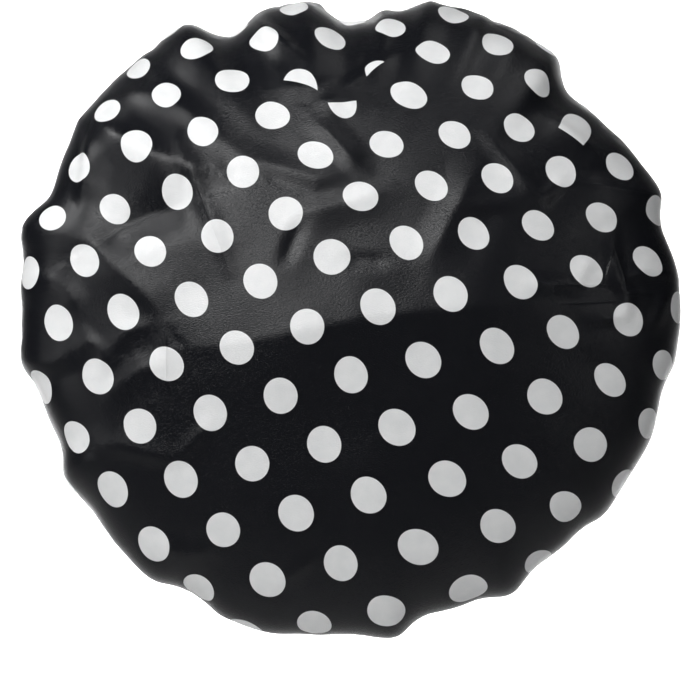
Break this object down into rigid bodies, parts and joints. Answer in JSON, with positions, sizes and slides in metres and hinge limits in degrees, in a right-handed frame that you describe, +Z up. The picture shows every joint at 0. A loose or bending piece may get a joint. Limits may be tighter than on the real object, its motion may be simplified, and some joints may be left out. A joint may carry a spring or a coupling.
{
  "type": "shower cap",
  "caption": "Oversized satin shower cap in its worn shape: puffed round crown, film liner, and a gathered edge on an elastic in a folded binding.",
  "frame": {"origin": "middle of the elastic's loop, which is the head opening", "axes": "+Z up as worn, +Y the way the wearer faces, so the crown faces -Y; +X to the right seen from behind"},
  "size_m": [0.4344, 0.2021, 0.4185],
  "materials": {
    "printed_satin": "black polyester satin printed with white dots, glossy on the float side",
    "liner_film": "milky soft film, slightly see-through, satin gloss",
    "binding_tape": "black satin tape, folded",
    "woven_elastic": "white woven flat elastic, ribbed",
    "sewing_thread": "black spun polyester thread"
  },
  "bodies": {
    "root": {"outer_cover": "printed_satin", "waterproof_liner": "liner_film", "edge_binding": "binding_tape", "elastic_band": "woven_elastic", "elastic_join_tack": "sewing_thread", "binding_needle_thread": "sewing_thread", "binding_bobbin_thread": "sewing_thread"}
  },
  "joints": []
}
